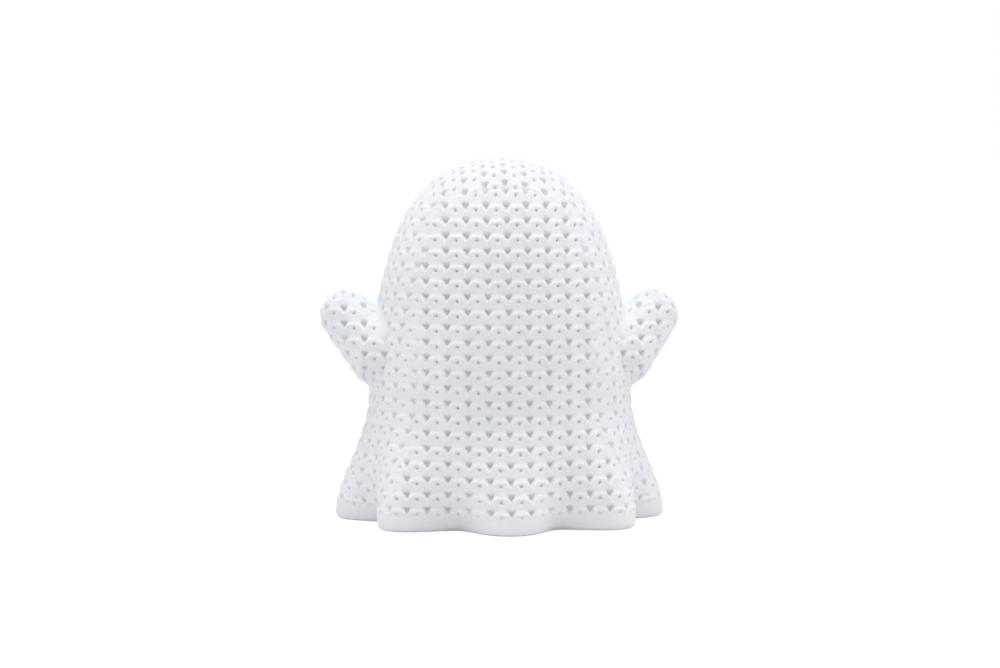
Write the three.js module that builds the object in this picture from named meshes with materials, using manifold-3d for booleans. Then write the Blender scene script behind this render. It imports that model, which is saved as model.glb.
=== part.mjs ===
// A knitted ghost figurine: a hollow draped shell with a fluted skirt, two plug-in arms and two eye inlays.
// Millimetres, +Z up. The origin is on the table under the middle of the shell, and the face looks along +Y.
import * as THREE from "three";
import { mergeVertices } from "three/addons/utils/BufferGeometryUtils.js";
import Module from "manifold-3d";

// Profile of the shell under the knit, seen from the front
const height = 79.6;
const domeRadius = 23.9;
const domeSpan = 75; // degrees of the dome's arc, from the crown down to the shoulder
const waistHeight = 28;
const waistHalfWidth = 28.9;
const upperFullness = 14; // how far the flank stays upright above the waist
const shoulderFullness = 10; // how far the shoulder's slope runs on below the dome
const skirtFullness = 11; // how far the flank stays upright below the waist
const hemHalfWidth = 36.4;
const hemBulgeHeight = 2.9;
const hemFullness = 4.6; // how far the hem stays upright above its widest point
const hemTuck = 1.4; // how far the rolled edge turns in at the table

// Section of the shell, seen from above
const depthRatio = 0.955; // depth over width
const foldCount = 8;
const foldDepth = 0.225; // share of the radius that the deepest fold takes away at the hem
const foldSharpness = 1.15;
const foldTop = 28;
const foldGrowth = 1.8;

// Wall
const wall = 2.4;
const cavityRings = 16;
const cavityPointsPerFold = 7;

// Knit
const courseHeight = 3.22;
const stitchWidth = 4.34;
const bodyStitches = 40;
const hemBand = 4;
const lipHeight = 0.45; // how far the top edge of a course stands proud
const pitDepth = 0.45; // how far the hole at the foot of each V goes in
const notchDepth = 0.54; // share of a course that each V dips by
const ledge = 0.1; // share of a course that the step back behind the lip takes

// Arms, given for the one on the +X side: a taper between a ball inside the shell and a ball at the tip
const armRootX = 26;
const armRootY = -4.5;
const armRootHeight = 37;
const armRootRadius = 8;
const armReach = 39.5; // from the axis to the tip's furthest point
const armTipY = 0;
const armTop = 50.7;
const armTipRadius = 5.5;
const armStitches = 12;
const crownShare = 0.5; // share of a course that is left plain over the tip
const cuffLength = 4; // how far off its seat an arm's knit reaches its full relief

// Peg and socket of each arm
const pegRadius = 3.6;
const pegLength = 5; // how far the peg goes in past the shell's surface
const pegRoot = 4; // how far the peg is carried on inside the arm
const clearance = 0.3;
const socketWall = 1.8;
const roundSegments = 24;

// Eyes
const eyeHalfWidth = 2.7;
const eyeHalfHeight = 4;
const eyeSpacing = 15;
const eyeHeight = 57;
const eyePocketDepth = 1.3;
const eyeProud = 0.9;
const eyeSegments = 28;
const eyeDomeRings = 4;

// Share of a search's range at which the search ends
const finestStep = 1e-9;

const wasm = await Module();
wasm.setup();

function geometryOf(points, faces) {
  const geometry = new THREE.BufferGeometry();
  const numbers = points.flatMap((point) => [point.x, point.y, point.z]);
  geometry.setAttribute("position", new THREE.Float32BufferAttribute(numbers, 3));
  geometry.setIndex(faces);
  return geometry;
}

function solidOf(geometry) {
  const bare = geometry.clone();
  bare.deleteAttribute("normal");
  bare.deleteAttribute("uv");
  const merged = mergeVertices(bare);
  return new wasm.Manifold(
    new wasm.Mesh({
      numProp: 3,
      vertProperties: merged.attributes.position.array,
      triVerts: new Uint32Array(merged.index.array),
    }),
  );
}

function geometryFrom(solid) {
  const mesh = solid.getMesh();
  const geometry = new THREE.BufferGeometry();
  geometry.setAttribute("position", new THREE.BufferAttribute(mesh.vertProperties, 3));
  geometry.setIndex(new THREE.BufferAttribute(mesh.triVerts, 1));
  const flat = geometry.toNonIndexed();
  flat.computeVertexNormals();
  return flat;
}

// Rings of points, each closed on itself and with the next, make one skin with a fan at each end.
// A ring may have half as many points as the one below it.
function skinOf(rings, footPoint, crownPoint) {
  const points = [footPoint];
  const starts = [];
  for (const ring of rings) {
    starts.push(points.length);
    points.push(...ring);
  }
  points.push(crownPoint);
  const last = points.length - 1;
  const faces = [];
  const first = rings[0].length;
  for (let i = 0; i < first; i++) {
    faces.push(0, starts[0] + ((i + 1) % first), starts[0] + i);
  }
  for (let k = 0; k + 1 < rings.length; k++) {
    const low = rings[k].length;
    const high = rings[k + 1].length;
    for (let i = 0; i < low; i++) {
      const a = starts[k] + i;
      const b = starts[k] + ((i + 1) % low);
      const c = starts[k + 1] + Math.round(((i + 1) * high) / low) % high;
      const d = starts[k + 1] + Math.round((i * high) / low) % high;
      if (c === d) {
        faces.push(a, b, c);
      } else if (i % 2 === 0) {
        faces.push(a, b, c, a, c, d);
      } else {
        faces.push(a, b, d, b, c, d);
      }
    }
  }
  const top = rings[rings.length - 1].length;
  const topStart = starts[rings.length - 1];
  for (let i = 0; i < top; i++) {
    faces.push(topStart + i, topStart + ((i + 1) % top), last);
  }
  return geometryOf(points, faces);
}

// The point that stands off a surface by a height along its normal.
function standOff(surface, turn, rise, lift) {
  const step = 1e-3;
  const point = surface(turn, rise);
  const along = surface(turn + step, rise).sub(surface(turn - step, rise));
  const up = surface(turn, rise + step).sub(surface(turn, rise - step));
  const normal = along.cross(up).normalize();
  return point.addScaledVector(normal, lift);
}

// Shell surface. Turn runs from 0 to 1 round the axis, starting at -Y, and rise is the length up the profile.
const domeCentre = height - domeRadius;
const shoulderAngle = THREE.MathUtils.degToRad(90 - domeSpan);
const shoulderX = domeRadius * Math.cos(shoulderAngle);
const shoulderZ = domeCentre + domeRadius * Math.sin(shoulderAngle);

const profile = new THREE.Path();
profile.absellipse(hemHalfWidth - hemTuck, hemBulgeHeight, hemTuck, hemBulgeHeight, -Math.PI / 2, 0);
profile.bezierCurveTo(
  hemHalfWidth,
  hemBulgeHeight + hemFullness,
  waistHalfWidth,
  waistHeight - skirtFullness,
  waistHalfWidth,
  waistHeight,
);
profile.bezierCurveTo(
  waistHalfWidth,
  waistHeight + upperFullness,
  shoulderX + shoulderFullness * Math.sin(shoulderAngle),
  shoulderZ - shoulderFullness * Math.cos(shoulderAngle),
  shoulderX,
  shoulderZ,
);
profile.absarc(0, domeCentre, domeRadius, shoulderAngle, Math.PI / 2);
const profileLength = profile.getLength();
const rollLength = profile.curves[0].getLength();

function foldedRadius(halfWidth, z, angle) {
  const growth = Math.max(0, (foldTop - z) / foldTop) ** foldGrowth;
  const valley = ((1 - Math.cos(foldCount * angle)) / 2) ** foldSharpness;
  return halfWidth * (1 - foldDepth * growth * valley);
}

function shellSurface(turn, rise) {
  const share = THREE.MathUtils.clamp(rise / profileLength, 0, 1);
  const edge = profile.getPointAt(share);
  const angle = turn * 2 * Math.PI;
  const radius = foldedRadius(edge.x, edge.y, angle);
  return new THREE.Vector3(radius * Math.sin(angle), -radius * depthRatio * Math.cos(angle), edge.y);
}

// The furthest length, up to a limit, at which a test still holds.
function furthest(limit, holds) {
  let reached = 0;
  for (let step = limit / 2; step > limit * finestStep; step /= 2) {
    if (holds(reached + step)) {
      reached += step;
    }
  }
  return reached;
}

// How far up the profile a height is reached.
function riseAt(z) {
  return furthest(profileLength, (rise) => profile.getPointAt(rise / profileLength).y < z);
}

function halfWidthAt(z) {
  return profile.getPointAt(riseAt(z) / profileLength).x;
}

// How far outside the shell a point lies, measured from the axis.
function offShell(point) {
  const depth = -point.y / depthRatio;
  const angle = Math.atan2(point.x, depth);
  return Math.hypot(point.x, depth) - foldedRadius(halfWidthAt(point.z), point.z, angle);
}

// Courses of stockinette: each course leans out to a zigzag lip, and a pit sits over the foot of each V.
// Zigzag and relief are scaled by a strength between 0 and 1 that is found at each point.
function knitRings(surface, foot, courses, courseRise, stitchesAt, strengthAt) {
  const rings = [];
  for (let course = 0; course < courses; course++) {
    const start = foot + course * courseRise;
    const end = start + courseRise;
    const points = 2 * stitchesAt(start + courseRise / 2);
    const low = [];
    const lip = [];
    for (let column = 0; column < points; column++) {
      const turn = column / points;
      const dip = column % 2 === 0 ? notchDepth * courseRise : 0;
      const below = strengthAt(surface(turn, start));
      const above = strengthAt(surface(turn, end));
      const behind = course === 0 ? 0 : ledge * courseRise - dip * below;
      const sink = course > 0 && dip > 0 ? pitDepth * below : 0;
      low.push(standOff(surface, turn, start + behind, -sink));
      lip.push(standOff(surface, turn, end - dip * above, lipHeight * above));
    }
    rings.push(low, lip);
  }
  return rings;
}

// Real knitting is narrowed towards a crown by working two stitches together.
function stitchesFor(radius, most) {
  let stitches = most;
  while (stitches % 2 === 0 && (2 * Math.PI * radius) / stitches < stitchWidth * Math.SQRT1_2) {
    stitches /= 2;
  }
  return stitches;
}

function shellSkin() {
  const points = 2 * bodyStitches;
  const plain = [0, rollLength / 3, (2 * rollLength) / 3, rollLength].map((rise) =>
    Array.from({ length: points }, (_, i) => shellSurface(i / points, rise)),
  );
  const foot = rollLength + hemBand - hemBulgeHeight;
  const courses = Math.floor((profileLength - foot) / courseHeight);
  const stitchesAt = (rise) => {
    return stitchesFor(profile.getPointAt(Math.min(1, rise / profileLength)).x, bodyStitches);
  };
  const knit = knitRings(shellSurface, foot, courses, courseHeight, stitchesAt, () => 1);
  return skinOf([...plain, ...knit], new THREE.Vector3(), new THREE.Vector3(0, 0, height));
}

// A plain skin that follows the shell at an offset, from a flat foot to the crown.
function plainShell(offset, footZ) {
  const points = foldCount * cavityPointsPerFold;
  const turns = Array.from({ length: points }, (_, i) => i / points);
  const foot = turns.map((turn) => {
    const inset = standOff(shellSurface, turn, rollLength, offset).sub(shellSurface(turn, rollLength));
    return inset.add(shellSurface(turn, 0)).setZ(footZ);
  });
  const rings = [foot];
  for (let k = 1; k <= cavityRings; k++) {
    const rise = THREE.MathUtils.lerp(rollLength, profileLength, (k - 1) / cavityRings);
    rings.push(turns.map((turn) => standOff(shellSurface, turn, rise, offset)));
  }
  return skinOf(rings, new THREE.Vector3(0, 0, footZ), new THREE.Vector3(0, 0, height + offset));
}

// Arm surface on the +X side, in level sections of the taper between its two balls
const armRoot = new THREE.Vector3(armRootX, armRootY, armRootHeight);
const armTip = new THREE.Vector3(armReach - armTipRadius, armTipY, armTop - armTipRadius);
const armFoot = armRootHeight - armRootRadius;
const armAxis = armTip.clone().sub(armRoot);
const armSlope = (armRootRadius - armTipRadius) / armAxis.length();
const armLean = Math.atan2(armAxis.z, Math.hypot(armAxis.x, armAxis.y));
const armSide = armLean - Math.acos(armSlope); // which way the taper's lower side faces

// The arm's lower edge, in the upright plane through both balls, from under the root to over the tip
const armEdge = new THREE.Path();
armEdge.absarc(0, armRoot.z, armRootRadius, -Math.PI / 2, armSide);
armEdge.absarc(Math.hypot(armAxis.x, armAxis.y), armTip.z, armTipRadius, armSide, Math.PI / 2);
const armLength = armEdge.getLength();

function offArm(point) {
  const fromRoot = point.clone().sub(armRoot);
  const along = fromRoot.dot(armAxis) / armAxis.length();
  const out = Math.sqrt(Math.max(0, fromRoot.lengthSq() - along ** 2));
  const behind = (out * armSlope) / Math.sqrt(1 - armSlope ** 2);
  const share = THREE.MathUtils.clamp((along - behind) / armAxis.length(), 0, 1);
  const centre = armRoot.clone().addScaledVector(armAxis, share);
  return point.distanceTo(centre) - THREE.MathUtils.lerp(armRootRadius, armTipRadius, share);
}

function armSurface(turn, rise) {
  const z = armEdge.getPointAt(THREE.MathUtils.clamp(rise / armLength, 0, 1)).y;
  const share = (z - armFoot) / (armTop - armFoot);
  const centre = armRoot.clone().lerp(armTip, share).setZ(z);
  const outward = new THREE.Vector3(Math.sin(turn * 2 * Math.PI), -Math.cos(turn * 2 * Math.PI), 0);
  const limit = armRootRadius + armAxis.length();
  const reach = furthest(limit, (out) => offArm(centre.clone().addScaledVector(outward, out)) < 0);
  return centre.addScaledVector(outward, reach);
}

function armSkin() {
  const courses = Math.round((armTop - armFoot) / courseHeight);
  const courseRise = armLength / (courses + crownShare);
  const seatLift = lipHeight + clearance;
  const strengthAt = (point) => THREE.MathUtils.smoothstep(offShell(point), seatLift, seatLift + cuffLength);
  const stitchesAt = (rise) => {
    const toTip = Math.max(rise, armLength / 2);
    const thickness = armSurface(0, toTip).distanceTo(armSurface(0.5, toTip));
    return stitchesFor(thickness / 2, armStitches);
  };
  const rings = knitRings(armSurface, 0, courses, courseRise, stitchesAt, strengthAt);
  const foot = armRoot.clone().setZ(armFoot);
  const crown = armTip.clone().setZ(armTop);
  return skinOf(rings.slice(1), foot, crown);
}

// The peg's axis crosses the arm's axis where the arm comes out of the shell.
const armExitX = halfWidthAt(armRootHeight);
const exitShare = (armExitX - armRootX) / armAxis.x;
const armExit = armRoot.clone().addScaledVector(armAxis, exitShare);
const pegEnd = armExitX - pegLength;
const socketFloor = pegEnd - clearance;

// A round bar along X, from one end to the other, on the peg's axis.
function barAlongX(radius, from, to) {
  const bar = new THREE.CylinderGeometry(radius, radius, to - from, roundSegments);
  bar.rotateZ(Math.PI / 2);
  bar.translate((from + to) / 2, armExit.y, armExit.z);
  return solidOf(bar);
}

// Eyes: where each one sits, with its axis along the shell's normal.
function eyeSeat(side) {
  const rise = riseAt(eyeHeight);
  const turn = 0.5 - (side * Math.asin(eyeSpacing / 2 / halfWidthAt(eyeHeight))) / (2 * Math.PI);
  const seat = new THREE.Object3D();
  seat.position.copy(shellSurface(turn, rise));
  const normal = standOff(shellSurface, turn, rise, 1).sub(seat.position);
  const across = new THREE.Vector3(0, 0, 1).cross(normal).normalize();
  seat.quaternion.setFromRotationMatrix(
    new THREE.Matrix4().makeBasis(across, normal, new THREE.Vector3().crossVectors(across, normal)),
  );
  seat.updateMatrixWorld();
  return seat;
}

function eyePocket(side) {
  const reach = 2 * eyePocketDepth;
  const pocket = new THREE.CylinderGeometry(1, 1, eyePocketDepth + reach, eyeSegments);
  pocket.scale(eyeHalfWidth + clearance, 1, eyeHalfHeight + clearance);
  pocket.translate(0, (reach - eyePocketDepth) / 2, 0);
  return solidOf(pocket.applyMatrix4(eyeSeat(side).matrixWorld));
}

function eyeGeometry() {
  const seatLevel = clearance - eyePocketDepth;
  const outline = [new THREE.Vector2(0, seatLevel), new THREE.Vector2(1, seatLevel)];
  for (let k = 0; k <= eyeDomeRings; k++) {
    const angle = (k * Math.PI) / 2 / eyeDomeRings;
    outline.push(new THREE.Vector2(Math.cos(angle), lipHeight + (eyeProud - lipHeight) * Math.sin(angle)));
  }
  outline[outline.length - 1].setX(0);
  return new THREE.LatheGeometry(outline, eyeSegments).scale(eyeHalfWidth, 1, eyeHalfHeight);
}

function bodyShell() {
  const outside = solidOf(shellSkin());
  const cavity = solidOf(plainShell(-wall, -wall));
  const midWall = solidOf(plainShell(-wall / 2, 0));
  let shell = outside.subtract(cavity);
  for (const side of [-1, 1]) {
    const mirror = new THREE.Matrix4().makeScale(side, 1, 1).elements;
    const bossRadius = pegRadius + clearance + socketWall;
    const boss = barAlongX(bossRadius, socketFloor - socketWall, armExitX).intersect(midWall);
    const socket = barAlongX(pegRadius + clearance, socketFloor, armReach);
    shell = shell.add(boss.transform(mirror)).subtract(socket.transform(mirror));
    shell = shell.subtract(eyePocket(side));
  }
  return geometryFrom(shell);
}

function rightArm() {
  const seat = solidOf(plainShell(lipHeight + clearance, -wall));
  const peg = barAlongX(pegRadius, pegEnd, armExitX + pegRoot);
  return geometryFrom(solidOf(armSkin()).subtract(seat).add(peg));
}

const whiteKnit = { color: "#eef1f5", roughness: 0.85, metalness: 0 };
const blackGloss = { color: "#111113", roughness: 0.3, metalness: 0 };

function pieceOf(name, geometry, finish) {
  const mesh = new THREE.Mesh(geometry, new THREE.MeshStandardMaterial(finish));
  mesh.name = name;
  return mesh;
}

const ghost = new THREE.Group();
ghost.add(pieceOf("body_shell", bodyShell(), whiteKnit));

const armGeometry = rightArm();
const leftArm = pieceOf("left_arm", armGeometry, whiteKnit);
leftArm.scale.x = -1;
ghost.add(leftArm, pieceOf("right_arm", armGeometry, whiteKnit));

const eyeSides = { left_eye: -1, right_eye: 1 };
for (const [name, side] of Object.entries(eyeSides)) {
  const eye = pieceOf(name, eyeGeometry(), blackGloss);
  const seat = eyeSeat(side);
  eye.position.copy(seat.position);
  eye.quaternion.copy(seat.quaternion);
  ghost.add(eye);
}

export default ghost;
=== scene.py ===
import math

import bpy
import numpy as np
from mathutils import Matrix, Vector


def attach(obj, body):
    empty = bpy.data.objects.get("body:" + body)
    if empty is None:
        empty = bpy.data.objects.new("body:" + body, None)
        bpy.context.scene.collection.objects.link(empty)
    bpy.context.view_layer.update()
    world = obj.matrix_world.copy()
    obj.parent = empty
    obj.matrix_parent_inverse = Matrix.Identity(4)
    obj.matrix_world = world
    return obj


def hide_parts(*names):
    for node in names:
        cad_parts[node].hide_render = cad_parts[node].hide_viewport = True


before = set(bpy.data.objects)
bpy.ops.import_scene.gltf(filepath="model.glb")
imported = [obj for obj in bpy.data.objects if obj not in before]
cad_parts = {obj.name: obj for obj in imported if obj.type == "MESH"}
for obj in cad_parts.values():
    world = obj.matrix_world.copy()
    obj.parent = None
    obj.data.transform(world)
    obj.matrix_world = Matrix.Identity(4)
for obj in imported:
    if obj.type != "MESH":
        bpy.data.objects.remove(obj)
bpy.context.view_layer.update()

# Lengths are in millimetres until a mesh is finished. The side that the photograph shows faces -Y.
MM = 0.001

# Profile of the shell under the knit
HEIGHT = 79.6
DOME_RADIUS = 23.8
DOME_SPAN = 57.0  # degrees, from the crown down to the shoulder
WAIST_HEIGHT = 28.0
WAIST_HALF_WIDTH = 29.0
UPPER_FULLNESS = 12.2  # how far the flank stays upright above the waist
SHOULDER_FULLNESS = 11.2  # how far the shoulder's slope runs on below the dome
SKIRT_FULLNESS = 11.0  # how far the flank stays upright below the waist
HEM_HALF_WIDTH = 36.4
HEM_BULGE_HEIGHT = 1.4
HEM_FULLNESS = 8.0  # how far the hem stays upright above its widest point
HEM_TUCK = 0.9  # how far the rolled edge turns in at the table
CURVE_POINTS = 40

# Section of the shell
DEPTH_RATIO = 0.955  # depth over width
FOLD_COUNT = 8
FOLD_DEPTH = 0.225  # share of the radius that a fold takes away at the hem
FOLD_SHARPNESS = 1.15
FOLD_TOP = 28.0
FOLD_GROWTH = 1.8

# Arms, as tapers between two balls, given for +X
ARM_ROOT = np.array([26.6, -4.5, 37.2])
ARM_ROOT_RADIUS = 7.4
ARM_TIP = np.array([34.3, 0.0, 44.9])
ARM_TIP_RADIUS = 5.5
ARM_BLEND = 2.0
BALL_RINGS = 12
BALL_END = 85.0  # degrees from the equator at which a ball's rings stop

# Knit
STITCH_WIDTH = 4.338
COURSE_HEIGHT = 3.219
FIRST_COURSE = 69.75  # height of the top edge of a course
TOP_COURSE = -0.35  # the same for the crown, in courses
SIDE_SHIFT = -0.35  # place of the stitches on the sides, in stitches

# Lip: the top edge of a stitch, an arch between two Vs. Shares are of a stitch's width or a course's height.
LIP_HEIGHT = 0.42
LIP_RISE = 0.15  # share over which the lip rises in a V
ARCH_RISE = 0.3  # how much more of the course that takes in the middle of an arch
LIP_FADE = (0.1, 1.0)  # where the lip slopes back to the plain surface
V_DEPTH = 0.53  # share by which a V dips below the top of the arches
ARCH_POWER = 2.7

# Pit between the two arms of each V, and the small round hole below each arch
V_PIT_DEPTH = 0.85
V_TOP = -0.1
V_TOP_SOFTNESS = 0.2
V_MARGIN = 0.03
V_SOFTNESS = 0.28
PIT_HALF_WIDTH = 0.21
PIT_POWER = 1.4
DOT_DOWN = 0.47
DOT_SPREAD = 0.24
DOT_DEPTH = 0.75

# Where the knit changes over: plain hem band, front, side and top, upper crease of the arms, eyes
BAND_TOP = 4.4
BAND_FADE = 1.2
BAND_LIFT = 0.15
SWITCH_WIDTH = 0.05
TOP_LEAN = 1.05  # above 1, the crown's stitches take over sooner
SIDE_LEAN = 1.17  # the same for the sides
LEAN_HEIGHTS = (56.0, 45.0)  # heights over which the lean of the sides comes in
SIDE_RELIEF = 0.55  # share of the relief that the sides keep
CREASE_CALM = 0.9  # share of it that the crease loses
CREASE_SLOPES = (0.1, 0.4)  # how far a crease has to face up to be calmed
EYE_CALM = (1.6, 1.15)  # in sizes of the eye
EYE_LIFT = 0.2

# Wall, pegs, sockets and the seam of each arm
WALL = 2.4
SEAM_X = 29.6
SEAM_LOW = 25.0
SEAM_HIGH = 60.0
SEAM_REACH = 20.0
SEAM_OUT = 50.0
PEG_RADIUS = 3.6
PEG_LENGTH = 5.0
PEG_ROOT = 4.0  # how far the peg is carried on inside the arm
CLEARANCE = 0.3
SOCKET_WALL = 1.8
BAR_SEGMENTS = 64

# Eyes
EYE_HALF_WIDTH = 2.7
EYE_HALF_HEIGHT = 4.0
EYE_SPACING = 15.0
EYE_HEIGHT = 57.0
EYE_POCKET_DEPTH = 1.3
EYE_PROUD = 0.9
EYE_SEGMENTS = 96
EYE_RINGS = 20
EYE_FILLET = 0.15

# Meshing
AROUND = 320
ROUGH_VOXEL = 0.9
FINE_VOXEL = STITCH_WIDTH / 20
SETTLE_PASSES = 4
GRID_STEP = 0.2
GRID_REACH = 50.0
GRID_MARGIN = 4.0
LAST_CELL = 1.001  # rows or columns that a look-up stays below the grid's end
SLOPE_STEP = 0.05
SHARP_COSINE = math.cos(math.radians(40))


def smoothstep(low, high, value):
    share = np.clip((value - low) / (high - low), 0, 1)
    return share * share * (3 - 2 * share)


def arc(centre, radii, start, end):
    angle = np.radians(np.linspace(start, end, CURVE_POINTS))
    return np.stack([centre[0] + radii[0] * np.cos(angle), centre[1] + radii[1] * np.sin(angle)], 1)


def bezier(*corners):
    t = np.linspace(0, 1, CURVE_POINTS)[:, None]
    p0, p1, p2, p3 = (np.array(corner, float) for corner in corners)
    return (1 - t) ** 3 * p0 + 3 * (1 - t) ** 2 * t * p1 + 3 * (1 - t) * t ** 2 * p2 + t ** 3 * p3


def shell_profile():
    """The shell's half width and height, from the foot up to the crown."""
    dome_centre = HEIGHT - DOME_RADIUS
    low = 90 - DOME_SPAN
    sine, cosine = math.sin(math.radians(low)), math.cos(math.radians(low))
    shoulder = (DOME_RADIUS * cosine, dome_centre + DOME_RADIUS * sine)
    roll = arc((HEM_HALF_WIDTH - HEM_TUCK, HEM_BULGE_HEIGHT), (HEM_TUCK, HEM_BULGE_HEIGHT), -90, 0)
    skirt = bezier(
        (HEM_HALF_WIDTH, HEM_BULGE_HEIGHT),
        (HEM_HALF_WIDTH, HEM_BULGE_HEIGHT + HEM_FULLNESS),
        (WAIST_HALF_WIDTH, WAIST_HEIGHT - SKIRT_FULLNESS),
        (WAIST_HALF_WIDTH, WAIST_HEIGHT),
    )
    trunk = bezier(
        (WAIST_HALF_WIDTH, WAIST_HEIGHT),
        (WAIST_HALF_WIDTH, WAIST_HEIGHT + UPPER_FULLNESS),
        (shoulder[0] + SHOULDER_FULLNESS * sine, shoulder[1] - SHOULDER_FULLNESS * cosine),
        shoulder,
    )
    dome = arc((0, dome_centre), (DOME_RADIUS, DOME_RADIUS), low, 90)
    return np.vstack([roll, skirt[1:], trunk[1:], dome[1:]])


PROFILE = shell_profile()


def half_width(z):
    return np.interp(z, PROFILE[:, 1], PROFILE[:, 0])


def fold_share(z, angle):
    growth = np.clip((FOLD_TOP - z) / FOLD_TOP, 0, 1) ** FOLD_GROWTH
    valley = ((1 - np.cos(FOLD_COUNT * angle)) / 2) ** FOLD_SHARPNESS
    return 1 - FOLD_DEPTH * growth * valley


def distance_grid():
    """Signed distance from the profile over a grid of heights and radii."""
    radii = np.arange(0, GRID_REACH, GRID_STEP)
    heights = np.arange(-GRID_MARGIN, HEIGHT + 2 * GRID_MARGIN, GRID_STEP)
    outline = np.vstack([[0, 0], PROFILE])
    start, run = outline[:-1], np.diff(outline, axis=0)
    grid = np.empty((len(heights), len(radii)))
    for row, z in enumerate(heights):
        offset = np.stack([radii, np.full_like(radii, z)], 1)[:, None] - start
        along = np.clip((offset * run).sum(2) / (run ** 2).sum(1), 0, 1)
        nearest = np.linalg.norm(offset - along[..., None] * run, axis=2).min(1)
        inside = (radii < half_width(z)) & (0 < z < HEIGHT)
        grid[row] = np.where(inside, -nearest, nearest)
    return grid


GRID = distance_grid()


def off_shell(points):
    """Distance from the plain shell, below zero inside. It holds near the surface."""
    depth = -points[:, 1] / DEPTH_RATIO
    angle = np.arctan2(points[:, 0], depth)
    radius = np.hypot(points[:, 0], depth) / fold_share(points[:, 2], angle)
    row = np.clip((points[:, 2] + GRID_MARGIN) / GRID_STEP, 0, GRID.shape[0] - LAST_CELL)
    column = np.clip(radius / GRID_STEP, 0, GRID.shape[1] - LAST_CELL)
    i, j = row.astype(int), column.astype(int)
    up, out = row - i, column - j
    low = GRID[i, j] * (1 - out) + GRID[i, j + 1] * out
    high = GRID[i + 1, j] * (1 - out) + GRID[i + 1, j + 1] * out
    return low * (1 - up) + high * up


def off_arm(points):
    """Distance from the arm on the same side."""
    axis = ARM_TIP - ARM_ROOT
    length = np.linalg.norm(axis)
    slope = (ARM_ROOT_RADIUS - ARM_TIP_RADIUS) / length
    offset = points * np.where(points[:, :1] < 0, [-1, 1, 1], [1, 1, 1]) - ARM_ROOT
    along = offset @ axis / length
    out = np.sqrt(np.maximum(0, (offset ** 2).sum(1) - along ** 2))
    share = np.clip((along - out * slope / math.sqrt(1 - slope ** 2)) / length, 0, 1)
    nearest = np.linalg.norm(offset - share[:, None] * axis, axis=1)
    return nearest - ARM_ROOT_RADIUS + share * (ARM_ROOT_RADIUS - ARM_TIP_RADIUS)


def arm_blend(points):
    """Distances from the shell and from the arm, and the shell's share where they meet."""
    shell, arm = off_shell(points), off_arm(points)
    return shell, arm, np.clip(0.5 + 0.5 * (arm - shell) / ARM_BLEND, 0, 1)


def field(points):
    """Below zero inside the plain ghost, with each arm blended into the shell."""
    shell, arm, mix = arm_blend(points)
    return arm + (shell - arm) * mix - ARM_BLEND * mix * (1 - mix)


def slope_of(some_field, points):
    slope = np.empty_like(points)
    for axis in range(3):
        step = np.zeros(3)
        step[axis] = SLOPE_STEP
        slope[:, axis] = (some_field(points + step) - some_field(points - step)) / (2 * SLOPE_STEP)
    return slope


def settled(points):
    """The points moved onto the plain ghost's surface."""
    for _ in range(SETTLE_PASSES):
        slope = slope_of(field, points)
        points = points - (field(points) / (slope ** 2).sum(1))[:, None] * slope
    return points


def stitch_height(across, down):
    """Height of the knit over the plain surface. Across counts stitches from the middle of a V, and down
    counts courses from the top edge of one."""
    aside = np.abs(across - np.round(across))
    below = down - np.floor(down)
    edge = V_DEPTH * (1 - 2 * aside) ** ARCH_POWER
    past = below - edge
    turned = np.where(past < 0, past + 1, past)
    rise = LIP_RISE + ARCH_RISE * (2 * aside) ** 2
    lip = LIP_HEIGHT * smoothstep(0, rise, np.where(past < 0, 1, past)) * (1 - smoothstep(*LIP_FADE, turned))
    from_top = np.where(below > 1 + 2 * V_TOP, below - 1, below)
    pit_edge = V_DEPTH * (1 - (aside / PIT_HALF_WIDTH) ** PIT_POWER)
    in_v = smoothstep(V_MARGIN, V_MARGIN + V_SOFTNESS, pit_edge - from_top)
    in_v = in_v * smoothstep(V_TOP, V_TOP + V_TOP_SOFTNESS, from_top)
    off_dot = ((0.5 - aside) * STITCH_WIDTH) ** 2 + ((below - DOT_DOWN) * COURSE_HEIGHT) ** 2
    dot = np.exp(-off_dot / (2 * DOT_SPREAD ** 2))
    return lip - V_PIT_DEPTH * in_v - DOT_DEPTH * dot


def near_eye(points):
    """1 beside the eye pockets, where the knit runs out, and 0 elsewhere."""
    near = np.zeros(len(points))
    for side in (-1, 1):
        place, across, up, out = eye_seat(side)
        offset = points - place
        ring = np.hypot(offset @ across / EYE_HALF_WIDTH, offset @ up / EYE_HALF_HEIGHT)
        near = np.maximum(near, smoothstep(*EYE_CALM, ring) * (offset @ out > -WALL))
    return near


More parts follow.
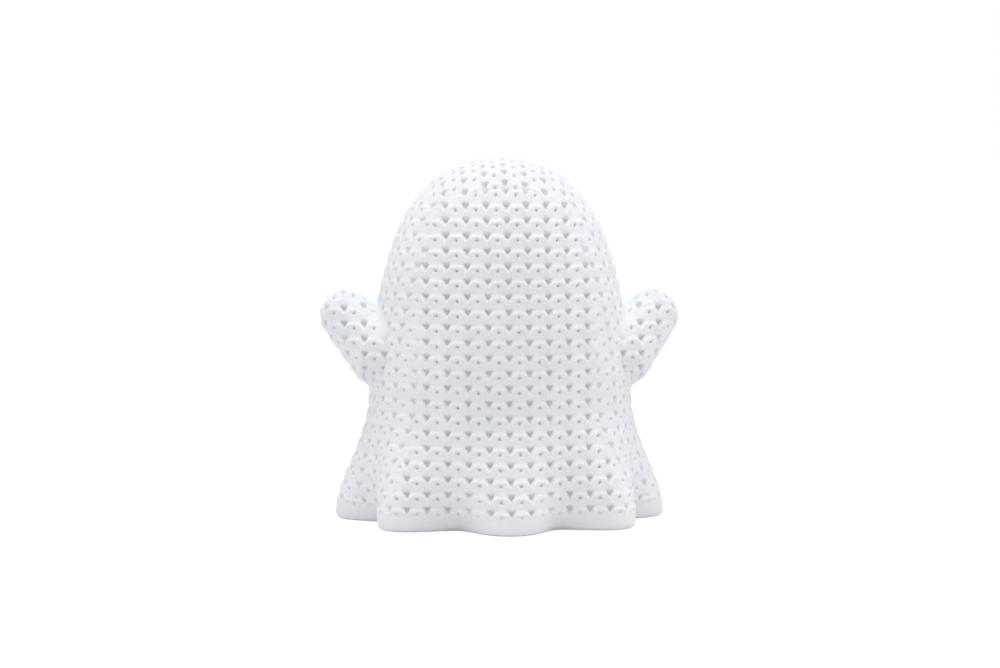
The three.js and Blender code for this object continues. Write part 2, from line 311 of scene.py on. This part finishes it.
def knit(points, normals):
    """The stitches as they are laid on from the front, the side and the top: their height over the plain
    surface, then where each point lies across and down its stitch and how open the knit is there."""
    down = (FIRST_COURSE - points[:, 2]) / COURSE_HEIGHT
    front = np.stack([points[:, 0] / STITCH_WIDTH, down], 1)
    side = np.stack([points[:, 1] / STITCH_WIDTH + SIDE_SHIFT, down], 1)
    top = np.stack([points[:, 0] / STITCH_WIDTH, TOP_COURSE - points[:, 1] / COURSE_HEIGHT], 1)
    facing = np.abs(normals)
    lean = 1 + (SIDE_LEAN - 1) * smoothstep(*LEAN_HEIGHTS, points[:, 2])
    to_side = smoothstep(-SWITCH_WIDTH, SWITCH_WIDTH, lean * facing[:, 0] - facing[:, 1])
    to_top = smoothstep(-SWITCH_WIDTH, SWITCH_WIDTH, TOP_LEAN * facing[:, 2] - facing[:, :2].max(1))
    upright = stitch_height(*front.T)
    upright += (SIDE_RELIEF * stitch_height(*side.T) - upright) * to_side
    height = upright + (stitch_height(*top.T) - upright) * to_top
    mix = arm_blend(points)[2]
    upward = smoothstep(*CREASE_SLOPES, normals[:, 2])
    open_knit = 1 - CREASE_CALM * 4 * mix * (1 - mix) * upward
    beside_eye = near_eye(points)
    height = height * open_knit
    height += beside_eye * (EYE_LIFT - height)
    strength = smoothstep(BAND_TOP - BAND_FADE, BAND_TOP, points[:, 2])
    lift = BAND_LIFT * np.clip(1 + normals[:, 2], 0, 1)
    height = lift + (height - lift) * strength
    place = np.where(to_top[:, None] > 0.5, top, np.where(to_side[:, None] > 0.5, side, front))
    off_switch = np.abs(2 * to_side - 1) * np.abs(2 * to_top - 1)
    # clear also scales the painted shade in the pits, through the stitch attribute
    clear = strength * open_knit * (1 - beside_eye) * off_switch
    return height, np.column_stack([place, clear])


def loft(rings):
    """Points and faces of a closed skin over rings with equal numbers of points, capped at both ends."""
    rings = np.asarray(rings, float)
    index = np.arange(rings.shape[0] * rings.shape[1]).reshape(rings.shape[:2])
    after = np.roll(index, -1, 1)
    quads = np.stack([index[:-1], after[:-1], after[1:], index[1:]], -1).reshape(-1, 4)
    faces = quads.tolist() + [index[0, ::-1].tolist(), index[-1].tolist()]
    return rings.reshape(-1, 3), faces


def new_object(name, parts):
    """A mesh object made of one or more closed skins."""
    points, faces, base = [], [], 0
    for part_points, part_faces in parts:
        points.append(part_points)
        faces += [[corner + base for corner in face] for face in part_faces]
        base += len(part_points)
    mesh = bpy.data.meshes.new(name)
    mesh.from_pydata(np.vstack(points).tolist(), [], faces)
    made = bpy.data.objects.new(name, mesh)
    bpy.context.scene.collection.objects.link(made)
    return made


def with_modifier(made, kind, **settings):
    """The object with one modifier applied."""
    modifier = made.modifiers.new("step", kind)
    for key, value in settings.items():
        setattr(modifier, key, value)
    evaluated = made.evaluated_get(bpy.context.evaluated_depsgraph_get())
    mesh = bpy.data.meshes.new_from_object(evaluated)
    made.modifiers.clear()
    made.data = mesh
    return made


def combine(made, tool, operation):
    return with_modifier(made, "BOOLEAN", object=tool, operation=operation, solver="MANIFOLD")


def copy_of(made, name):
    twin = bpy.data.objects.new(name, made.data.copy())
    bpy.context.scene.collection.objects.link(twin)
    return twin


def read_points(made):
    flat = np.empty(3 * len(made.data.vertices))
    made.data.vertices.foreach_get("co", flat)
    return flat.reshape(-1, 3)


def write_points(made, points):
    made.data.vertices.foreach_set("co", points.astype(np.float32).ravel())
    made.data.update()


def shell_rings(inset):
    """Rings of the shell's surface, moved in along the normal by an inset."""
    angle = np.linspace(0, 2 * np.pi, AROUND, endpoint=False)
    rings = []
    for half, z in PROFILE[:-1]:
        radius = half * fold_share(z, angle)
        x_places, y_places = radius * np.sin(angle), -DEPTH_RATIO * radius * np.cos(angle)
        rings.append(np.stack([x_places, y_places, np.full_like(angle, z)], 1))
    if inset:
        for k, ring in enumerate(rings):
            normal = slope_of(off_shell, ring)
            rings[k] = ring - inset * normal / np.linalg.norm(normal, axis=1)[:, None]
    return rings


def plain_ghost():
    """The shell and the arms as rough closed skins that overlap."""
    parts = [loft(shell_rings(0))]
    turns = np.linspace(0, 2 * np.pi, BAR_SEGMENTS, endpoint=False)
    axis = (ARM_TIP - ARM_ROOT) / np.linalg.norm(ARM_TIP - ARM_ROOT)
    level = np.cross([0, 0, 1], axis)
    level /= np.linalg.norm(level)
    rise = np.cross(axis, level)
    rings = []
    for centre, radius, angles in (
        (ARM_ROOT, ARM_ROOT_RADIUS, np.linspace(-BALL_END, 0, BALL_RINGS)),
        (ARM_TIP, ARM_TIP_RADIUS, np.linspace(0, BALL_END, BALL_RINGS)),
    ):
        for angle in np.radians(angles):
            around = np.outer(np.cos(turns), level) + np.outer(np.sin(turns), rise)
            rings.append(centre + axis * radius * math.sin(angle) + around * radius * math.cos(angle))
    points, faces = loft(rings)
    parts.append((points, faces))
    parts.append((points * [-1, 1, 1], [face[::-1] for face in faces]))
    return new_object("ghost", parts)


def knitted_ghost():
    """The whole outside of the ghost as one closed skin with its stitches."""
    ghost = plain_ghost()
    fine = FINE_VOXEL
    for voxel in (ROUGH_VOXEL, fine):
        with_modifier(ghost, "REMESH", mode="VOXEL", voxel_size=voxel, adaptivity=0.0)
        write_points(ghost, settled(read_points(ghost)))
    points = read_points(ghost)
    normals = slope_of(field, points)
    normals /= np.linalg.norm(normals, axis=1)[:, None]
    height, place = knit(points, normals)
    write_points(ghost, points + height[:, None] * normals)
    stitch = ghost.data.attributes.new("stitch", "FLOAT_VECTOR", "POINT")
    stitch.data.foreach_set("vector", place.astype(np.float32).ravel())
    return ghost


def bar(start, end, across, up, half_across, half_up):
    """A closed bar with an oval section."""
    turns = np.linspace(0, 2 * np.pi, BAR_SEGMENTS, endpoint=False)
    ring = np.outer(np.cos(turns) * half_across, across) + np.outer(np.sin(turns) * half_up, up)
    return loft([np.asarray(start) + ring, np.asarray(end) + ring])


ARM_EXIT_X = float(half_width(ARM_ROOT[2]))
ARM_EXIT = ARM_ROOT + (ARM_TIP - ARM_ROOT) * (ARM_EXIT_X - ARM_ROOT[0]) / (ARM_TIP[0] - ARM_ROOT[0])
SOCKET_FLOOR = ARM_EXIT_X - PEG_LENGTH - CLEARANCE


def level_bar(side, radius, start, end):
    """A round bar along X on the peg's axis, on one side of the ghost."""
    low, high = sorted((side * start, side * end))
    ends = [(x, ARM_EXIT[1], ARM_EXIT[2]) for x in (low, high)]
    return bar(*ends, (0, 1, 0), (0, 0, 1), radius, radius)


def arm_block(side):
    """The block of space that one arm takes up outside its seam."""
    low, high = sorted((side * SEAM_X, side * SEAM_OUT))
    corners = [(low, -SEAM_REACH), (high, -SEAM_REACH), (high, SEAM_REACH), (low, SEAM_REACH)]
    return loft([[(x, y, z) for x, y in corners] for z in (SEAM_LOW, SEAM_HIGH)])


def eye_seat(side):
    """Where an eye sits: its place on the shell, then across, up and out."""
    turn = math.asin(EYE_SPACING / 2 / float(half_width(EYE_HEIGHT)))
    reach = float(half_width(EYE_HEIGHT)) * math.cos(turn) * DEPTH_RATIO
    place = np.array([[side * EYE_SPACING / 2, reach, EYE_HEIGHT]])
    out = slope_of(off_shell, place)[0]
    out /= np.linalg.norm(out)
    across = np.cross([0, 0, 1], out)
    across /= np.linalg.norm(across)
    return place[0], across, np.cross(out, across), out


def eye_pocket(side):
    place, across, up, out = eye_seat(side)
    floor, mouth = place - out * EYE_POCKET_DEPTH, place + out * 2 * EYE_POCKET_DEPTH
    return bar(floor, mouth, across, up, EYE_HALF_WIDTH + CLEARANCE, EYE_HALF_HEIGHT + CLEARANCE)


def hollow():
    """Everything that is cut out of the ghost to leave the shell."""
    rings = shell_rings(WALL)
    foot = rings[0].copy()
    foot[:, 2] = -WALL
    rings = [foot] + [ring for ring in rings if ring[0, 2] > 0]
    made = new_object("hollow", [loft(rings)])
    for side in (-1, 1):
        boss = level_bar(side, PEG_RADIUS + CLEARANCE + SOCKET_WALL, SOCKET_FLOOR - SOCKET_WALL, ARM_EXIT_X)
        combine(made, new_tool([boss]), "DIFFERENCE")
    for side in (-1, 1):
        socket = new_tool([level_bar(side, PEG_RADIUS + CLEARANCE, SOCKET_FLOOR, SEAM_X + CLEARANCE)])
        combine(made, combine(new_tool([arm_block(side)]), socket, "UNION"), "UNION")
        combine(made, new_tool([eye_pocket(side)]), "UNION")
    return made


tools = []


def new_tool(parts):
    made = new_object("tool", parts)
    tools.append(made)
    return made


def set_materials(made, *materials):
    made.data.materials.clear()
    for material in materials:
        made.data.materials.append(material)


def mark_inside(made):
    """Puts the second material on every face, so that cut faces can be told from the knit skin."""
    made.data.polygons.foreach_set("material_index", np.ones(len(made.data.polygons), np.int32))


def finish_skin(made):
    """Smooth shading that stops at cut edges, and metres."""
    mesh = made.data
    mesh.transform(Matrix.Scale(MM, 4))
    mesh.shade_smooth()
    edges = np.empty(len(mesh.loops), np.int32)
    mesh.loops.foreach_get("edge_index", edges)
    totals = np.empty(len(mesh.polygons), np.int32)
    mesh.polygons.foreach_get("loop_total", totals)
    inside = np.empty(len(mesh.polygons), np.int32)
    mesh.polygons.foreach_get("material_index", inside)
    normals = np.empty(3 * len(mesh.polygons), np.float32)
    mesh.polygons.foreach_get("normal", normals)
    normals = normals.reshape(-1, 3)
    faces = np.repeat(np.arange(len(totals)), totals)
    pairs = faces[np.argsort(edges, kind="stable")].reshape(-1, 2)
    first, second = pairs[:, 0], pairs[:, 1]
    bend = (normals[first] * normals[second]).sum(1)
    cut = inside[first] != inside[second]
    cut |= (inside[first] == 1) & (bend < SHARP_COSINE)
    sharp = mesh.attributes.get("sharp_edge") or mesh.attributes.new("sharp_edge", "BOOLEAN", "EDGE")
    sharp.data.foreach_set("value", cut)
    mesh.update()


def eye_lens(name, side):
    place, across, up, out = eye_seat(side)
    base = CLEARANCE - EYE_POCKET_DEPTH
    levels = [(1 - EYE_FILLET, base), (1, base + EYE_FILLET), (1, LIP_HEIGHT)]
    for angle in np.linspace(0, math.pi / 2, EYE_RINGS)[1:-1]:
        levels.append((math.cos(angle), LIP_HEIGHT + (EYE_PROUD - LIP_HEIGHT) * math.sin(angle)))
    turns = np.linspace(0, 2 * np.pi, EYE_SEGMENTS, endpoint=False)
    rim = np.outer(np.cos(turns) * EYE_HALF_WIDTH, across) + np.outer(np.sin(turns) * EYE_HALF_HEIGHT, up)
    made = new_object(name, [loft([place + out * level + rim * share for share, level in levels])])
    made.data.shade_smooth()
    made.data.transform(Matrix.Scale(MM, 4))
    return made


# Materials

WHITE_TONES = [(0.3, (0.76, 0.78, 0.82)), (0.7, (0.80, 0.81, 0.83))]
WHITE_CLOUD = (90, 3)  # scale and detail of the noise, as in the other clouds and grains
WHITE_GRAIN = (6000, 4)
WHITE_ROUGHNESS = (0.55, 0.8)
WHITE_BUMP = (0.15, 0.00004)
BLACK_TONES = [(0.3, (0.004, 0.004, 0.005)), (0.7, (0.012, 0.012, 0.013))]
BLACK_CLOUD = (400, 2)
BLACK_GRAIN = (2500, 3)
BLACK_ROUGHNESS = (0.18, 0.3)
BLACK_BUMP = (0.05, 0.00002)

# Painted shade in the pits, standing in for their shadow: distances from a hole's middle in millimetres, and
# shares of a course
PIT_SHADE_GREY = (0.36, 0.38, 0.43)
DOT_DARK = 0.12
DOT_RIM = 0.42
DOT_SHADE = 0.45
V_DARK = 0.24
V_SHADE_TOP = 0.14
V_SHADE = 0.25


def new_material(name):
    material = bpy.data.materials.new(name)
    material.use_nodes = True
    nodes = material.node_tree.nodes
    return material, nodes, material.node_tree.links, nodes["Principled BSDF"]


def noise(nodes, links, scale, detail):
    """Noise that is laid out in the object's own metres."""
    where = nodes.new("ShaderNodeTexCoord")
    made = nodes.new("ShaderNodeTexNoise")
    made.inputs["Scale"].default_value = scale
    made.inputs["Detail"].default_value = detail
    links.new(where.outputs["Object"], made.inputs["Vector"])
    return made.outputs["Fac"]


def ramp(nodes, links, source, stops):
    made = nodes.new("ShaderNodeValToRGB")
    for element, (position, colour) in zip(made.color_ramp.elements, stops):
        element.position = position
        element.color = (*colour, 1)
    links.new(source, made.inputs["Fac"])
    return made.outputs["Color"]


def bump(nodes, links, shader, source, strength, distance):
    made = nodes.new("ShaderNodeBump")
    made.inputs["Strength"].default_value = strength
    made.inputs["Distance"].default_value = distance
    links.new(source, made.inputs["Height"])
    links.new(made.outputs["Normal"], shader.inputs["Normal"])


def number(nodes, links, operation, *values):
    """The result of one sum on numbers or sockets."""
    made = nodes.new("ShaderNodeMath")
    made.operation = operation
    for socket, value in zip(made.inputs, values):
        if isinstance(value, bpy.types.NodeSocket):
            links.new(value, socket)
        else:
            socket.default_value = value
    return made.outputs[0]


def fade(nodes, links, source, start, end):
    """Falls from 1 to 0 as the source goes from start to end."""
    made = nodes.new("ShaderNodeMapRange")
    made.interpolation_type = "SMOOTHSTEP"
    made.inputs["From Min"].default_value = start
    made.inputs["From Max"].default_value = end
    made.inputs["To Min"].default_value = 1.0
    made.inputs["To Max"].default_value = 0.0
    links.new(source, made.inputs["Value"])
    return made.outputs["Result"]


def painted_pit_shade(nodes, links):
    """Painted shade: how dark the knit's colour is made in the pit of each V and in the small round hole
    beside it.
    """

    def sums(operation, *values):
        return number(nodes, links, operation, *values)

    stitch = nodes.new("ShaderNodeAttribute")
    stitch.attribute_name = "stitch"
    parts = nodes.new("ShaderNodeSeparateXYZ")
    links.new(stitch.outputs["Vector"], parts.inputs[0])
    aside = sums("PINGPONG", parts.outputs["X"], 0.5)
    below = sums("WRAP", parts.outputs["Y"], 1 + 2 * V_TOP, 2 * V_TOP)
    across_dot = sums("MULTIPLY", sums("SUBTRACT", 0.5, aside), STITCH_WIDTH)
    down_dot = sums("MULTIPLY", sums("SUBTRACT", below, DOT_DOWN), COURSE_HEIGHT)
    off_dot = sums("SQRT", sums("ADD", sums("POWER", across_dot, 2.0), sums("POWER", down_dot, 2.0)))
    dot = sums("MULTIPLY", fade(nodes, links, off_dot, DOT_DARK, DOT_RIM), DOT_SHADE)
    narrowing = sums("POWER", sums("DIVIDE", aside, PIT_HALF_WIDTH), PIT_POWER)
    edge = sums("MULTIPLY_ADD", narrowing, -V_DEPTH, V_DEPTH)
    inside = fade(nodes, links, sums("SUBTRACT", edge, below), V_DARK, V_MARGIN)
    hole = sums("MULTIPLY", inside, fade(nodes, links, below, V_SHADE_TOP, V_TOP))
    return sums("MULTIPLY", sums("MAXIMUM", dot, sums("MULTIPLY", hole, V_SHADE)), parts.outputs["Z"])


def grain_finish(nodes, links, shader, grain_size, roughness, relief):
    """Roughness and a fine bump that follow one noise."""
    grain = noise(nodes, links, *grain_size)
    rough = nodes.new("ShaderNodeMapRange")
    rough.inputs["To Min"].default_value = roughness[0]
    rough.inputs["To Max"].default_value = roughness[1]
    links.new(grain, rough.inputs["Value"])
    links.new(rough.outputs["Result"], shader.inputs["Roughness"])
    bump(nodes, links, shader, grain, *relief)


def knit_material():
    material, nodes, links, shader = new_material("knit_white")
    cloud = noise(nodes, links, *WHITE_CLOUD)
    mix = nodes.new("ShaderNodeMix")
    mix.data_type = "RGBA"
    links.new(painted_pit_shade(nodes, links), mix.inputs["Factor"])
    links.new(ramp(nodes, links, cloud, WHITE_TONES), mix.inputs["A"])
    # Painted shade: the knit's colour is mixed towards this grey in the pits and holes, in place of their
    # shadow
    mix.inputs["B"].default_value = (*PIT_SHADE_GREY, 1)
    links.new(mix.outputs["Result"], shader.inputs["Base Color"])
    grain_finish(nodes, links, shader, WHITE_GRAIN, WHITE_ROUGHNESS, WHITE_BUMP)
    return material


def eye_material():
    material, nodes, links, shader = new_material("eye_black")
    cloud = noise(nodes, links, *BLACK_CLOUD)
    links.new(ramp(nodes, links, cloud, BLACK_TONES), shader.inputs["Base Color"])
    grain_finish(nodes, links, shader, BLACK_GRAIN, BLACK_ROUGHNESS, BLACK_BUMP)
    return material


# Stage

FLOOR_REACH = 3.0
FLOOR_COLOUR = (0.85, 0.85, 0.86)
FLOOR_WHITE = 0.9  # share of plain white that the camera sees in the floor
FLOOR_GLOW = 1.08
WORLD_STRENGTH = 0.585
CAMERA_DISTANCE = 540.0
CAMERA_HEIGHT = 70.2
CAMERA_TURN = 4.15
CAMERA_PITCH = 3.13
CAMERA_START = 0.01  # metres
LENS = 87.5
LAMPS = (  # name, place and size in metres, power in watts
    ("overhead", (0.0, -0.1, 1.1), 0.9, 6.8),
    ("front", (0.0, -1.0, 0.9), 0.7, 1.1),
    ("left_side", (-1.0, 0.15, 0.3), 0.6, 1.4),
    ("right_side", (1.0, 0.15, 0.3), 0.6, 1.9),
)


def seen_ray(nodes, links):
    """1 where the camera, a reflection or clear glass looks at this, and 0 where it lights other things."""
    path = nodes.new("ShaderNodeLightPath")
    total = path.outputs["Is Camera Ray"]
    for name in ("Is Glossy Ray", "Is Transmission Ray"):
        add = nodes.new("ShaderNodeMath")
        add.operation = "MAXIMUM"
        links.new(total, add.inputs[0])
        links.new(path.outputs[name], add.inputs[1])
        total = add.outputs[0]
    return total


def make_floor():
    corners = [(-1, -1), (1, -1), (1, 1), (-1, 1)]
    mesh = bpy.data.meshes.new("floor")
    mesh.from_pydata([(x * FLOOR_REACH, y * FLOOR_REACH, 0) for x, y in corners], [], [(0, 1, 2, 3)])
    floor = bpy.data.objects.new("floor", mesh)
    bpy.context.scene.collection.objects.link(floor)
    material = bpy.data.materials.new("pale_floor")
    material.use_nodes = True
    nodes, links = material.node_tree.nodes, material.node_tree.links
    nodes.remove(nodes["Principled BSDF"])
    matte = nodes.new("ShaderNodeBsdfDiffuse")
    matte.inputs["Color"].default_value = (*FLOOR_COLOUR, 1)
    white = nodes.new("ShaderNodeEmission")
    white.inputs["Strength"].default_value = FLOOR_GLOW
    mix = nodes.new("ShaderNodeMixShader")
    share = nodes.new("ShaderNodeMath")
    share.operation = "MULTIPLY"
    share.inputs[1].default_value = FLOOR_WHITE
    links.new(seen_ray(nodes, links), share.inputs[0])
    links.new(share.outputs[0], mix.inputs[0])
    links.new(matte.outputs[0], mix.inputs[1])
    links.new(white.outputs[0], mix.inputs[2])
    links.new(mix.outputs[0], nodes["Material Output"].inputs["Surface"])
    mesh.materials.append(material)


def make_world():
    world = bpy.data.worlds.new("studio")
    bpy.context.scene.world = world
    world.use_nodes = True
    nodes, links = world.node_tree.nodes, world.node_tree.links
    background = nodes["Background"]
    background.inputs["Color"].default_value = (1, 1, 1, 1)
    strength = nodes.new("ShaderNodeMapRange")
    strength.inputs["To Min"].default_value = WORLD_STRENGTH
    strength.inputs["To Max"].default_value = 1.0
    links.new(seen_ray(nodes, links), strength.inputs["Value"])
    links.new(strength.outputs["Result"], background.inputs["Strength"])


def make_lamp(name, place, size, power):
    light = bpy.data.lights.new(name, "AREA")
    light.shape = "DISK"
    light.size = size
    light.energy = power
    lamp = bpy.data.objects.new(name, light)
    lamp.location = place
    lamp.rotation_mode = "QUATERNION"
    aim = Vector((0, 0, HEIGHT * MM / 2)) - lamp.location
    lamp.rotation_quaternion = aim.to_track_quat("-Z", "Y")
    bpy.context.scene.collection.objects.link(lamp)


def make_camera():
    turn = math.radians(CAMERA_TURN)
    camera = bpy.data.objects.new("camera", bpy.data.cameras.new("camera"))
    camera.data.lens = LENS
    camera.data.clip_start = CAMERA_START
    camera.location = Vector(
        (-CAMERA_DISTANCE * math.sin(turn), -CAMERA_DISTANCE * math.cos(turn), CAMERA_HEIGHT)
    ) * MM
    drop = CAMERA_DISTANCE * math.tan(math.radians(CAMERA_PITCH))
    aim = Vector((0, 0, CAMERA_HEIGHT - drop)) * MM - camera.location
    camera.rotation_mode = "QUATERNION"
    camera.rotation_quaternion = aim.to_track_quat("-Z", "Y")
    bpy.context.scene.collection.objects.link(camera)
    bpy.context.scene.camera = camera


def make_arm(ghost, side, name, white):
    """Cuts one arm out of a copy of the ghost and puts its peg on."""
    arm = copy_of(ghost, "knit_arm_" + name)
    peg = new_tool([level_bar(side, PEG_RADIUS, ARM_EXIT_X - PEG_LENGTH, ARM_EXIT_X + PEG_ROOT)])
    block = new_tool([arm_block(side)])
    for tool in (peg, block):
        set_materials(tool, white, white)
        mark_inside(tool)
    combine(arm, block, "INTERSECT")
    combine(arm, peg, "UNION")
    finish_skin(arm)
    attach(arm, "root")
    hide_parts(name + "_arm")


def make_eye(side, name, black):
    eye = eye_lens("eye_lens_" + name, side)
    eye.data.materials.append(black)
    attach(eye, "root")
    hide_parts(name + "_eye")


def make_ghost():
    white, black = knit_material(), eye_material()
    shell = knitted_ghost()
    set_materials(shell, white, white)
    cutter = hollow()
    set_materials(cutter, white, white)
    mark_inside(cutter)
    for side, name in ((-1, "left"), (1, "right")):
        make_arm(shell, side, name, white)
        make_eye(side, name, black)
    shell.name = "knit_shell"
    combine(shell, cutter, "DIFFERENCE")
    finish_skin(shell)
    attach(shell, "root")
    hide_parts("body_shell")
    for tool in [cutter, *tools]:
        bpy.data.objects.remove(tool)


make_ghost()
make_floor()
make_world()
for lamp in LAMPS:
    make_lamp(*lamp)
make_camera()
bpy.context.scene.view_settings.view_transform = "Standard"
